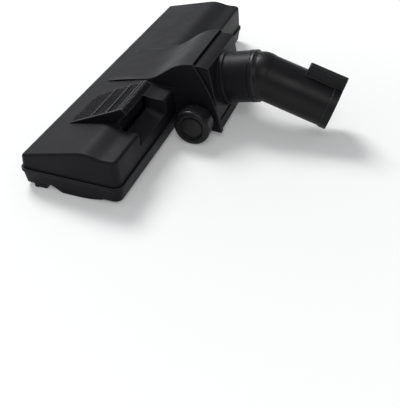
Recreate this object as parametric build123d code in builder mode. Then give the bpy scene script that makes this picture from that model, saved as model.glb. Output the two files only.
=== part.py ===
from build123d import *
import os
from math import atan2, cos, degrees, radians, sin, sqrt, tan

# Vacuum floor head with a foot pedal that lowers its brushes, a tilting neck and a swivelling elbow.
# Millimetres. +X is the pedal side, +Y runs to the rear (pipe side), +Z is up and the floor is z = 0.

# Body
head_width = 280.0
body_depth = 78.6
front_y = -101.2
wall = 2.2
front_corner_r = 4.6
rear_corner_r = 7.0
inner_corner_r = 1.0
lip_step = 1.4
cover_draft = 4.0
skirt_draft = 8.0
skirt_step = 2.0
soft_edge = 2.2

# Heights of the body above the floor
skirt_bottom = 2.6
sole_top = 6.8
lip_bottom = 12.9
seam_z = 15.3
front_top = 24.9
ramp_top = 35.4
crest_z = 37.0
plateau_z = 35.2

# Places along the wings, from the rear face forwards
ramp_end_gap = 36.1
crest_gap = 26.1
fall_gap = 14.6
plateau_gap = 7.0

# Hood, and the tail behind the body
hood_top = 58.4
hood_reach = 12.0
hood_start_gap = 61.0
hood_taper = 6.0
hood_wall = 1.7
hood_edge = 0.8
groove_width = 1.0
groove_depth = 0.8
seal_back = 3.4
seal_depth = 5.0
roof_low_gap = 19.3
roof_low = 41.9
roof_high_gap = 5.6
roof_high = 51.9
roof_end_slope = 0.2
cheek_thick = 4.6
tail_reach = 37.3
tail_bottom = 5.0
tail_draft = 1.5
cheek_bulge = 4.2
bay_half = 31.6
duct_front_gap = 42.0

# Tilting neck
tilt_back = 17.5
tilt_z = 31.9
barrel_r = 24.6
barrel_wall = 2.2
barrel_side_gap = 0.5
inlet_low = 14.0
inlet_high = 14.0
inlet_edge = 4.0
inlet_back = 10.0
face_gap = 11.9
neck_rise = 13.2
trunnion_r = 5.0
trunnion_length = 1.6
collar_r = 20.0
collar_length = 21.9
collar_drop = 0.8
flange_r = 21.4
flange_thick = 3.6
flange_edge = 0.8
ring_width = 3.0
ring_step = 0.3

# Elbow
elbow_bend = 28.8
elbow_wall = 2.1
socket_r = 16.0
socket_depth = 36.0
socket_step = 1.0
elbow_length = 60.7
bend_gap = 4.8
bend_swell = 0.5
bead_step = 0.3
bead_width = 2.0
rim_length = 6.0
rim_step = 0.6
spigot_length = 15.0
spigot_wall = 1.8

# Parking hook on the elbow
hook_length = 30.4
hook_width = 9.0
hook_height = 7.3
hook_round = 2.0

# Wheels
wheel_r = 14.4
wheel_width = 14.2
wheel_back = 17.8
wheel_gap = 1.9
tyre_thick = 4.2
tyre_round = 2.4
hub_boss_r = 6.0
hub_boss_length = 1.8
face_recess = 1.2
cap_r = 8.2
cap_thick = 2.6
axle_r = 1.6
axle_head_r = 2.8
axle_head = 1.2

# Pedal
pedal_end_gap = 44.0
pedal_width = 44.0
pedal_front_gap = 18.6
pedal_depth = 43.7
pedal_rise = 24.7
pedal_plate = 2.6
pedal_wall = 2.0
lip_back = 3.2
lip_drop = 3.1
undercut_gap = 7.4
undercut_z = 5.4
pivot_gap = 6.0
pivot_drop = 3.6
pivot_r = 1.5
pivot_boss = 4.0
tongue_width = 9.0
tongue_thick = 3.0
tongue_back = 31.0
pedal_corner = 8.0
band_gaps = (17.5, 30.0)
rib_height = 0.7
rib_width = 1.4

# Toe scoop behind the pedal
scoop_margin = 4.0
scoop_lead = 1.0
scoop_floor = 28.6
scoop_rear = 24.0

# Sole, from the front face backwards
slot_front = 2.8
front_slot_width = 6.4
rear_slot_width = 4.8
row_front = 6.8
land_front = 9.6
channel_front = 13.1
channel_rear = 28.4
channel_bend_gap = 5.5
channel_bend_out = 66.0
channel_top = 4.8
lead_out = 12.6
lead_out_front = 12.6
lead_out_rear = 32.0
notch_front = 14.6
notch_rear = 23.4
mouth_front = 18.3
mouth_depth = 14.6
mouth_width = 63.0
land_flat_end = 44.0
land_end = 64.0
land_inset = 1.4
land_root = 1.0
strip_over = 3.0
strip_depth = 6.7
strip_thick = 1.6
strip_lift = 0.3
front_strip_at = 10.6
rear_strip_at = 34.9
lead_in = 6.6
lead_in_deep = 0.9
rear_slot_gap = 9.4
slot_end = 7.0
screw_boss_r = 4.4

# Brush carriage
carriage_bar = 4.4
carriage_thick = 4.0
carriage_z = 16.2
brush_travel = 8.4
brush_reach = 4.0
brush_width = 4.0
link_end_gap = 34.0
link_width = 6.0
spring_span = 26.0
spring_thick = 0.6
spring_width = 5.0

# Screws
outer_screw_gap = 18.3
outer_screw_at = 46.6
inner_screw_gap = 6.5
inner_screw_at = 31.5
screw_head_r = 2.7
screw_head = 1.8
screw_sink = 1.0
screw_shank_r = 1.5
screw_length = 16.0
post_r = 3.6

# Rear lip of the tail plate and the rib round the mouth
lip_top = 11.5
rib_thick = 2.0

# Clearances
slip = 0.4
running = 0.06
seat = 0.02

os.makedirs("parts", exist_ok=True)

# Places that follow from the sizes
rear_y = front_y + body_depth
mid_y = front_y + body_depth / 2
ramp_end = (rear_y - ramp_end_gap, ramp_top)
ramp_slope = (ramp_top - front_top) / (ramp_end[0] - front_y)
ramp_plane = Plane(origin=(0, front_y, front_top), x_dir=(1, 0, 0), z_dir=(0, -ramp_slope, 1))
crest = (rear_y - crest_gap, crest_z)
fall = (rear_y - fall_gap, plateau_z + seat)
plateau = (rear_y - plateau_gap, plateau_z)
hood_rear_y = rear_y + hood_reach
hood_start = (rear_y - hood_start_gap, front_top + ramp_slope * (body_depth - hood_start_gap))
duct_front_y = rear_y - duct_front_gap
tail_y = rear_y + tail_reach
tail_half = bay_half + cheek_thick
hood_front_half = tail_half - hood_taper
hood_lean = hood_taper / (tail_y + 3 * wall - hood_start[0])
hood_draft = tan(radians(tail_draft))
groove_x = hood_front_half - (hood_start[1] - tail_bottom) * hood_draft
groove_turn = degrees(atan2(hood_lean - ramp_slope * hood_draft, 1))
groove_length = hood_start_gap - ramp_end_gap
cheek_middle = ((hood_rear_y + tail_y) / 2 + cheek_bulge, (hood_top + tail_bottom) / 2)
tilt_y = rear_y + tilt_back
wheel_y = rear_y + wheel_back
wheel_inner = tail_half + wheel_gap
barrel_half = bay_half - barrel_side_gap
pedal_front = front_y + pedal_front_gap
pedal_z = front_top + ramp_slope * pedal_front_gap
pedal_slope = tan(radians(pedal_rise))
pedal_rear = pedal_front + pedal_depth
pivot = (pedal_front + pivot_gap, pedal_z - pivot_drop)
pedal_far = head_width / 2 - pedal_end_gap
pedal_near = pedal_far - pedal_width
pedal_x = pedal_far - pedal_width / 2
scoop_x = pedal_far + scoop_margin
scoop_front = pedal_rear - scoop_lead
neck_plane = Plane(
    origin=(0, tilt_y, tilt_z),
    x_dir=(-1, 0, 0),
    z_dir=(0, cos(radians(neck_rise)), sin(radians(neck_rise))),
)
collar_plane = Plane(
    origin=neck_plane.from_local_coords((0, -collar_drop, 0)),
    x_dir=neck_plane.x_dir,
    z_dir=neck_plane.z_dir,
)
collar_end = face_gap + collar_length
elbow_start = collar_end + ring_width + slip
bend_at = elbow_start + bend_gap
bend_point = collar_plane.from_local_coords((0, 0, bend_at))
elbow_fall = radians(neck_rise - elbow_bend)
elbow_plane = Plane(
    origin=bend_point,
    x_dir=(-1, 0, 0),
    z_dir=(0, cos(elbow_fall), sin(elbow_fall)),
)
elbow_r = socket_r + elbow_wall
bend_r = elbow_r + bend_swell
hook_top = elbow_r + hook_height
hook_plane = Plane(
    origin=elbow_plane.from_local_coords((0, 0, elbow_length - hook_length / 2)),
    x_dir=(1, 0, 0),
    z_dir=elbow_plane.y_dir,
)
collar_bore = socket_r + spigot_wall + running
brush_tip = brush_travel - brush_reach
front_slot_y = front_y + slot_front + front_slot_width / 2
front_row_y = front_y + row_front
rear_row_y = rear_y - rear_slot_gap + rear_slot_width / 2
link_outer = head_width / 2 - link_end_gap
strip_width = mouth_width + 2 * strip_over
channel_bend_in = mouth_width / 2 + channel_bend_gap
channel_end = head_width / 2 - lead_out
notch_x = channel_end + channel_rear - notch_rear
outer_screw_x = head_width / 2 - outer_screw_gap
inner_screw_x = mouth_width / 2 + inner_screw_gap
screw_places = (
    (outer_screw_x, front_y + outer_screw_at),
    (inner_screw_x, front_y + inner_screw_at),
)


def body_plan(height, inset, front_r, rear_r):
    """Outline of the body seen from above at one height, drawn inwards by inset."""
    with BuildSketch(Plane.XY.offset(height)) as sketch:
        with Locations((0, mid_y)):
            Rectangle(head_width - 2 * inset, body_depth - 2 * inset)
        fillet(sketch.vertices().group_by(Axis.Y)[0], front_r)
        fillet(sketch.vertices().group_by(Axis.Y)[-1], rear_r)
    return sketch.sketch


def wing_profile(bottom, inset):
    """Side outline of the wings in the YZ plane, drawn inwards by inset."""
    top = [(y, z - inset) for y, z in (ramp_end, crest, fall, plateau)]
    with BuildSketch(Plane.YZ) as sketch:
        with BuildLine():
            Polyline(
                top[0],
                (front_y + inset, front_top + (ramp_slope - 1) * inset),
                (front_y + inset, bottom),
                (rear_y - inset, bottom),
                (rear_y - inset, plateau_z - inset),
                top[-1],
            )
            Spline(*top, tangents=[(1, ramp_slope), (1, 0)])
        make_face()
    return sketch.sketch


def roof_line(drop):
    """Hood roof from the ramp to its rear edge, lowered by drop, in the open line."""
    rise = (ramp_end[0], ramp_top - drop)
    rear = (hood_rear_y, hood_top - drop)
    Line((hood_start[0], hood_start[1] - drop), rise)
    Spline(
        rise,
        (rear_y - roof_low_gap, roof_low - drop),
        (rear_y - roof_high_gap, roof_high - drop),
        rear,
        tangents=[(1, ramp_slope), (1, roof_end_slope)],
    )
    return rear


def scoop_profile(start_x, grow):
    """Side outline of the toe scoop at one X, grown outwards where it is lined."""
    with BuildSketch(Plane.YZ.offset(start_x)) as sketch:
        with BuildLine():
            Polyline(
                (scoop_front - grow, hood_top),
                (scoop_front - grow, scoop_floor - grow),
                (rear_y + wall, scoop_rear - grow),
                (rear_y + wall, hood_top),
                close=True,
            )
        make_face()
    return sketch.sketch


def pedal_plan(height, inset, rear):
    """Outline of the pedal seen from above, drawn inwards by inset, with one round front corner."""
    with BuildSketch(Plane.XY.offset(height)) as sketch:
        with Locations((pedal_x, (pedal_front + rear) / 2)):
            Rectangle(pedal_width - 2 * inset, rear - pedal_front - 2 * inset)
        front_corners = sketch.vertices().group_by(Axis.Y)[0]
        fillet(front_corners.sort_by(Axis.X)[0], pedal_corner - inset)
    return sketch.sketch


# Shapes that the cover is cut with

with BuildPart() as scoop:
    extrude(scoop_profile(pedal_near, 0), amount=scoop_x - pedal_near)

with BuildPart() as wing_cavity:
    extrude(wing_profile(seam_z - wall, wall), amount=head_width / 2, both=True)
    inner_plan = body_plan(seam_z - wall, lip_step + wall, inner_corner_r, inner_corner_r)
    extrude(inner_plan, amount=hood_top, taper=cover_draft, mode=Mode.INTERSECT)
    lining = scoop_profile(pedal_near - wall, wall)
    extrude(lining, amount=scoop_x - pedal_near + 2 * wall, mode=Mode.SUBTRACT)
    # The screw posts stay solid
    with BuildSketch(Plane.XY):
        with Locations(*[(side * x, y) for x, y in screw_places for side in (-1, 1)]):
            Circle(post_r)
    extrude(amount=hood_top, mode=Mode.SUBTRACT)

with BuildPart() as hood_cavity:
    with BuildSketch(Plane.YZ):
        with BuildLine():
            cavity_rear = roof_line(hood_wall)
            Polyline(
                cavity_rear,
                (hood_rear_y, hood_top),
                (tail_y + wall, hood_top),
                (tail_y + wall, 0),
                (hood_start[0], 0),
                (hood_start[0], hood_start[1] - hood_wall),
            )
        make_face()
    extrude(amount=tail_half, both=True)
    with BuildSketch():
        with BuildLine():
            Polyline(
                (0, hood_start[0]),
                (hood_front_half - 2 * wall, hood_start[0]),
                (bay_half, tilt_y - barrel_r - slip),
                (bay_half, tail_y + wall),
                (0, tail_y + wall),
            )
            mirror(about=Plane.YZ)
        make_face()
    extrude(amount=hood_top, mode=Mode.INTERSECT)

# Hood roof and cheeks as one drafted block

with BuildPart() as hood_block:
    with BuildSketch(Plane.YZ):
        with BuildLine():
            block_rear = roof_line(0)
            ThreePointArc(block_rear, cheek_middle, (tail_y, tail_bottom))
            Polyline(
                (tail_y, tail_bottom),
                (rear_y, tail_bottom),
                (rear_y, sole_top + slip),
                (duct_front_y, sole_top + slip),
                (duct_front_y, hood_start[1] - wall),
                hood_start,
            )
        make_face()
    extrude(amount=tail_half + wall, both=True)
    with BuildSketch(Plane.XY.offset(tail_bottom)):
        with BuildLine():
            Polyline(
                (0, hood_start[0] - wall),
                (hood_front_half, hood_start[0] - wall),
                (tail_half, tail_y + 2 * wall),
                (0, tail_y + 2 * wall),
            )
            mirror(about=Plane.YZ)
        make_face()
    extrude(amount=hood_top, taper=tail_draft, mode=Mode.INTERSECT)
    roof_edges = ShapeList(
        edge
        for face in hood_block.faces().filter_by(lambda face: face.normal_at().Z > 0.5)
        for edge in face.edges()
        if abs(edge.tangent_at(0.5).X) < 0.5
    )
    fillet(roof_edges, hood_edge)

# Upper cover

with BuildPart() as upper_cover:
    extrude(wing_profile(seam_z, 0), amount=head_width / 2, both=True)
    cover_plan = body_plan(seam_z, lip_step, front_corner_r - lip_step, rear_corner_r - lip_step)
    extrude(cover_plan, amount=hood_top, taper=cover_draft, mode=Mode.INTERSECT)
    # Rounded rim: the edges that the top faces share with the drafted sides
    top_edges = ShapeList(
        edge for face in upper_cover.faces() if face.normal_at().Z > 0.5 for edge in face.edges()
    )
    rim_edges = [edge for edge in top_edges if sum(edge.is_same(other) for other in top_edges) == 1]
    fillet(rim_edges, soft_edge)
    add(scoop.part, mode=Mode.SUBTRACT)
    add(wing_cavity.part, mode=Mode.SUBTRACT)
    add(hood_block.part)
    add(hood_cavity.part, mode=Mode.SUBTRACT)
    # Feet of the screw posts, down to the base
    with BuildSketch(Plane.XY.offset(sole_top + seat)):
        with Locations(*[(side * x, y) for x, y in screw_places for side in (-1, 1)]):
            Circle(post_r)
    extrude(amount=seam_z + wall - sole_top)
    # Grooves along the foot of the hood's sides
    with BuildSketch(ramp_plane.offset(-groove_depth)):
        for side in (-1, 1):
            with Locations(Location((side * groove_x, body_depth - hood_start_gap), -side * groove_turn)):
                Rectangle(groove_width, groove_length, align=(Align.CENTER, Align.MIN))
    extrude(amount=wall, mode=Mode.SUBTRACT)
    # Opening for the pedal
    extrude(pedal_plan(seam_z + wall, -slip, scoop_front), amount=hood_top, mode=Mode.SUBTRACT)
    # Bosses for the pedal pin on both sides of the opening
    for boss_x in (pedal_near - slip - pivot_boss, pedal_far + slip):
        with BuildSketch(Plane.YZ.offset(boss_x)):
            with Locations(pivot):
                Circle(pivot_boss)
        extrude(amount=pivot_boss)
    with BuildSketch(Plane.YZ.offset(pedal_near - slip - pivot_boss)):
        with Locations(pivot):
            Circle(pivot_r + seat)
    extrude(amount=pedal_width + 2 * (slip + pivot_boss), mode=Mode.SUBTRACT)
    # Bearings for the neck and holes for the wheel axles in the cheeks
    with BuildSketch(Plane.YZ):
        with Locations((tilt_y, tilt_z)):
            Circle(trunnion_r + running)
    extrude(amount=bay_half + trunnion_length, both=True, mode=Mode.SUBTRACT)
    with BuildSketch(Plane.YZ):
        with Locations((wheel_y, wheel_r)):
            Circle(axle_r + seat)
    extrude(amount=wheel_inner, both=True, mode=Mode.SUBTRACT)
    # Pilot holes for the screws
    for place_x, place_y in screw_places:
        with BuildSketch(Plane.XY.offset(sole_top)):
            with Locations((place_x, place_y), (-place_x, place_y)):
                Circle(screw_shank_r + seat)
        extrude(amount=screw_length, mode=Mode.SUBTRACT)
upper_cover.part.label = "upper_cover"
export_step(upper_cover.part, "parts/upper_cover.step")

# Base housing

with BuildPart() as base_housing:
    # Skirt that widens upwards to the lip
    skirt_plan = body_plan(skirt_bottom, skirt_step, front_corner_r - lip_step, rear_corner_r - lip_step)
    extrude(skirt_plan, amount=lip_bottom - skirt_bottom, taper=-skirt_draft)
    extrude(body_plan(lip_bottom, 0, front_corner_r, rear_corner_r), amount=seam_z - lip_bottom)
    # Hollow above the sole
    hollow_plan = body_plan(sole_top, skirt_step + wall, inner_corner_r, inner_corner_r)
    extrude(hollow_plan, amount=seam_z, taper=-skirt_draft, mode=Mode.SUBTRACT)
    # Lands of the sole, flat in front and rising to the rear
    with BuildSketch(Plane.YZ):
        with BuildLine():
            flat_end = (front_y + land_flat_end, 0)
            rise_end = (front_y + land_end, skirt_bottom)
            Polyline(
                rise_end,
                (front_y + land_end, sole_top - land_root),
                (front_y + land_front, sole_top - land_root),
                (front_y + land_front, 0),
                flat_end,
            )
            TangentArc(flat_end, rise_end, tangent=(1, 0))
        make_face()
    extrude(amount=head_width / 2 - land_inset, both=True)
    # Air channel across the sole, bending back to the mouth
    with BuildSketch(Plane.XY):
        with BuildLine():
            near_front = (channel_bend_in, front_y + mouth_front)
            far_front = (channel_bend_out, front_y + channel_front)
            far_rear = (channel_bend_out, front_y + channel_rear)
            near_rear = (channel_bend_in, front_y + mouth_front + mouth_depth)
            Line((0, near_front[1]), near_front)
            Spline(near_front, far_front, tangents=[(1, 0), (1, 0)])
            Polyline(
                far_front,
                (notch_x, far_front[1]),
                (notch_x, front_y + notch_rear),
                (channel_end, far_rear[1]),
                far_rear,
            )
            Spline(far_rear, near_rear, tangents=[(-1, 0), (-1, 0)])
            Line(near_rear, (0, near_rear[1]))
            mirror(about=Plane.YZ)
        make_face()
    extrude(amount=channel_top, mode=Mode.SUBTRACT)
    # Notches with soft flanks where the channel runs out at both ends
    for start_x in (channel_end, -head_width / 2):
        with BuildSketch(Plane.YZ.offset(start_x)):
            with BuildLine():
                flank_front = (front_y + lead_out_front, 0)
                notch_top_front = (front_y + notch_front, channel_top)
                notch_top_rear = (front_y + notch_rear, channel_top)
                flank_rear = (front_y + lead_out_rear, 0)
                Polyline(flank_rear, flank_front, notch_top_front, notch_top_rear)
                Spline(notch_top_rear, flank_rear, tangents=[(2, -1), (2, -1)])
            make_face()
        extrude(amount=lead_out, mode=Mode.SUBTRACT)
    # Bosses that carry the inner screws beside the mouth
    with BuildSketch(Plane.XY.offset(land_root)):
        with Locations(*[(side * inner_screw_x, front_y + inner_screw_at) for side in (-1, 1)]):
            Circle(screw_boss_r)
    extrude(amount=sole_top - land_root)
    # Rib that leads the air from the mouth up to the cover
    with BuildSketch(Plane.YZ):
        with BuildLine():
            rib_front = front_y + mouth_front - rib_thick
            roof_drop = 2 * wall
            Polyline(
                (rib_front, sole_top - seat),
                (duct_front_y - slip, sole_top - seat),
                (duct_front_y - slip, front_top + ramp_slope * (duct_front_y - front_y) - roof_drop),
                (rib_front, front_top + ramp_slope * (rib_front - front_y) - roof_drop),
                close=True,
            )
        make_face()
    extrude(amount=mouth_width / 2 + rib_thick, both=True)
    with BuildSketch(Plane.XY.offset(sole_top)):
        with BuildLine():
            Polyline(
                (-mouth_width / 2, front_y + mouth_front),
                (mouth_width / 2, front_y + mouth_front),
                (mouth_width / 2, duct_front_y),
                (-mouth_width / 2, duct_front_y),
                close=True,
            )
        make_face()
    extrude(amount=hood_top, mode=Mode.SUBTRACT)
    # Suction mouth
    with BuildSketch(Plane.XY):
        with Locations((0, front_y + mouth_front + mouth_depth / 2)):
            Rectangle(mouth_width, mouth_depth)
    extrude(amount=seam_z, mode=Mode.SUBTRACT)
    # Slots for the brush rows
    slot_half = head_width / 2 - slot_end
    rear_slot_length = slot_half - tail_half - wall
    with BuildSketch(Plane.XY):
        with Locations((0, front_slot_y)):
            Rectangle(2 * slot_half, front_slot_width)
        with Locations(*[(side * (slot_half - rear_slot_length / 2), rear_row_y) for side in (-1, 1)]):
            Rectangle(rear_slot_length, rear_slot_width)
    extrude(amount=sole_top, mode=Mode.SUBTRACT)
    with BuildSketch(Plane.XY.offset(sole_top)):
        with Locations((0, front_row_y)):
            Rectangle(2 * slot_half, carriage_bar + 2 * slip)
    extrude(amount=seam_z, mode=Mode.SUBTRACT)
    # Gap in the rear wall for the tail
    with BuildSketch(Plane.XY.offset(sole_top)):
        with Locations((0, rear_y)):
            Rectangle(2 * (tail_half + slip), 2 * (skirt_step + 2 * wall))
    extrude(amount=seam_z, mode=Mode.SUBTRACT)
    # Tail plate with its raised rear lip, hollowed round the barrel
    with BuildSketch(Plane.YZ):
        with BuildLine():
            Polyline(
                (rear_y - slot_end, tail_bottom),
                (tail_y + wall, tail_bottom),
                (tail_y + wall, lip_top),
                (tilt_y, lip_top),
                (tilt_y, sole_top),
                (rear_y - slot_end, sole_top),
                close=True,
            )
        make_face()
        with Locations((tilt_y, tilt_z)):
            Circle(barrel_r + slip, mode=Mode.SUBTRACT)
    extrude(amount=bay_half - slip, both=True)
    with BuildSketch(neck_plane.offset(face_gap)):
        Rectangle(2 * tail_half, 4 * barrel_r)
    extrude(amount=tail_reach, mode=Mode.SUBTRACT)
    # Pockets for the lint strips, and the lead-in behind the rear one
    strip_y = [front_y + front_strip_at + strip_depth / 2, front_y + rear_strip_at + strip_depth / 2]
    with BuildSketch(Plane.XY):
        with Locations(*[(0, y) for y in strip_y]):
            Rectangle(strip_width, strip_depth)
    extrude(amount=strip_thick + strip_lift, mode=Mode.SUBTRACT)
    with BuildSketch(Plane.XY):
        with BuildLine():
            lead_y = strip_y[1] + strip_depth / 2
            Polyline(
                (-strip_width / 2, lead_y),
                (strip_width / 2, lead_y),
                (strip_width / 2 + lead_in, lead_y + lead_in),
                (-strip_width / 2 - lead_in, lead_y + lead_in),
                close=True,
            )
        make_face()
    extrude(amount=lead_in_deep, mode=Mode.SUBTRACT)
    # Screw holes with sunk heads
    for place_x, place_y in screw_places:
        with BuildSketch(Plane.XY):
            with Locations((place_x, place_y), (-place_x, place_y)):
                Circle(screw_head_r + slip)
        extrude(amount=screw_sink + screw_head, mode=Mode.SUBTRACT)
        with BuildSketch(Plane.XY):
            with Locations((place_x, place_y), (-place_x, place_y)):
                Circle(screw_shank_r + seat)
        extrude(amount=sole_top, mode=Mode.SUBTRACT)
base_housing.part.label = "base_housing"
export_step(base_housing.part, "parts/base_housing.step")

# Lint strips on both sides of the mouth

for strip_name, place_y in zip(("lint_strip_front", "lint_strip_rear"), strip_y):
    with BuildPart() as lint_strip:
        with BuildSketch(Plane.XY.offset(strip_lift)):
            with Locations((0, place_y)):
                Rectangle(strip_width - slip, strip_depth - slip)
        extrude(amount=strip_thick)
    lint_strip.part.label = strip_name
    export_step(lint_strip.part, f"parts/{strip_name}.step")

# Screws that hold the base to the cover

for screw_name, (place_x, place_y) in zip(("outer_screws", "inner_screws"), screw_places):
    with BuildPart() as screws:
        with BuildSketch(Plane.XY.offset(screw_sink)):
            with Locations((place_x, place_y), (-place_x, place_y)):
                Circle(screw_head_r)
        extrude(amount=screw_head)
        with BuildSketch(Plane.XY.offset(screw_sink + screw_head)):
            with Locations((place_x, place_y), (-place_x, place_y)):
                Circle(screw_shank_r)
        extrude(amount=screw_length - screw_head)
    screws.part.label = screw_name
    export_step(screws.part, f"parts/{screw_name}.step")

# Felt strip under the hood that wipes the barrel

with BuildPart() as hood_seal:
    with BuildSketch(Plane.XY.offset(tilt_z)):
        with Locations((0, rear_y + seal_back)):
            Rectangle(2 * (barrel_half - slip), seal_depth)
    extrude(amount=hood_top)
    add(hood_cavity.part, mode=Mode.INTERSECT)
    with BuildSketch(Plane.YZ):
        with Locations((tilt_y, tilt_z)):
            Circle(barrel_r + slip)
    extrude(amount=bay_half, both=True, mode=Mode.SUBTRACT)
hood_seal.part.label = "hood_seal"
export_step(hood_seal.part, "parts/hood_seal.step")

# Tilting neck: a barrel between the cheeks with a round collar

with BuildPart() as neck_block:
    with BuildSketch(Plane.YZ):
        with Locations((tilt_y, tilt_z)):
            Circle(barrel_r)
    extrude(amount=barrel_half, both=True)
    with BuildSketch(Plane.YZ):
        with Locations((tilt_y, tilt_z)):
            Circle(barrel_r - barrel_wall)
    extrude(amount=barrel_half - barrel_wall, both=True, mode=Mode.SUBTRACT)
    # Flat rear face with its plate
    with BuildSketch(neck_plane.offset(face_gap - barrel_wall)):
        Rectangle(2 * barrel_half, 2 * sqrt(barrel_r**2 - face_gap**2))
    extrude(amount=barrel_wall)
    with BuildSketch(neck_plane.offset(face_gap)):
        Rectangle(2 * tail_half, 4 * barrel_r)
    extrude(amount=barrel_r, mode=Mode.SUBTRACT)
    # Flange and collar
    with BuildSketch(collar_plane.offset(face_gap)):
        Circle(flange_r)
    extrude(amount=flange_thick, taper=tail_draft)
    flange_rim = neck_block.edges(Select.LAST).sort_by(Axis(collar_plane.origin, collar_plane.z_dir))[-1]
    fillet(flange_rim, flange_edge)
    with BuildSketch(collar_plane.offset(face_gap)):
        Circle(collar_r)
    extrude(amount=collar_length)
    with BuildSketch(collar_plane):
        Circle(collar_bore)
    extrude(amount=collar_end, mode=Mode.SUBTRACT)
    # Inlet that faces the duct
    with BuildSketch(Plane.XZ.offset(inlet_back - tilt_y)):
        with Locations((0, tilt_z + (inlet_high - inlet_low) / 2)):
            Rectangle(2 * (barrel_half - inlet_edge), inlet_high + inlet_low)
    extrude(amount=barrel_r, mode=Mode.SUBTRACT)
    # Trunnions in the cheeks
    with BuildSketch(Plane.YZ.offset(barrel_half - barrel_wall)):
        with Locations((tilt_y, tilt_z)):
            Circle(trunnion_r)
    extrude(amount=barrel_wall + barrel_side_gap + trunnion_length - slip)
    mirror(about=Plane.YZ)
neck_block.part.label = "neck_block"
export_step(neck_block.part, "parts/neck_block.step")

# Ring that closes the collar over the elbow's spigot

with BuildPart() as swivel_ring:
    with BuildSketch(collar_plane.offset(collar_end)):
        Circle(collar_r + ring_step)
        Circle(collar_bore, mode=Mode.SUBTRACT)
    extrude(amount=ring_width)
swivel_ring.part.label = "swivel_ring"
export_step(swivel_ring.part, "parts/swivel_ring.step")

# Elbow with the pipe socket and the parking hook

with BuildPart() as elbow_tube:
    with BuildSketch(collar_plane.offset(elbow_start)):
        Circle(collar_r)
    extrude(amount=bend_gap, taper=degrees(atan2(collar_r - bend_r, bend_gap)))
    with Locations(bend_point):
        Sphere(bend_r)
    with BuildSketch(collar_plane.offset(bend_at - 2 * collar_r)):
        Circle(2 * collar_r)
    extrude(amount=2 * collar_r - bend_gap, mode=Mode.SUBTRACT)
    with BuildSketch(elbow_plane):
        Circle(elbow_r)
    extrude(amount=elbow_length)
    with BuildSketch(elbow_plane.offset(elbow_length - rim_length)):
        Circle(elbow_r + rim_step)
    extrude(amount=rim_length)
    with BuildSketch(collar_plane.offset(elbow_start)):
        Circle(collar_r + bead_step)
    extrude(amount=bead_width)
    with BuildSketch(collar_plane.offset(elbow_start)):
        Circle(socket_r + spigot_wall)
    extrude(amount=-(slip + ring_width + spigot_length))
    # Parking hook, rounded on top apart from its flush rear end
    with BuildSketch(hook_plane):
        Rectangle(hook_width, hook_length)
    extrude(amount=hook_top)
    hook_edges = elbow_tube.edges(Select.LAST).group_by(Axis(hook_plane.origin, hook_plane.z_dir))[-1]
    fillet(hook_edges.sort_by(Axis(elbow_plane.origin, elbow_plane.z_dir))[:-1], hook_round)
    # Air way and pipe socket
    with BuildSketch(collar_plane.offset(elbow_start - slip - ring_width - spigot_length)):
        Circle(socket_r - socket_step)
    extrude(amount=slip + ring_width + spigot_length + bend_gap, mode=Mode.SUBTRACT)
    with Locations(bend_point):
        Sphere(socket_r - socket_step, mode=Mode.SUBTRACT)
    with BuildSketch(elbow_plane):
        Circle(socket_r - socket_step)
    extrude(amount=elbow_length, mode=Mode.SUBTRACT)
    with BuildSketch(elbow_plane.offset(elbow_length - socket_depth)):
        Circle(socket_r)
    extrude(amount=socket_depth, mode=Mode.SUBTRACT)
elbow_tube.part.label = "elbow_tube"
export_step(elbow_tube.part, "parts/elbow_tube.step")

# Wheels

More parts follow.
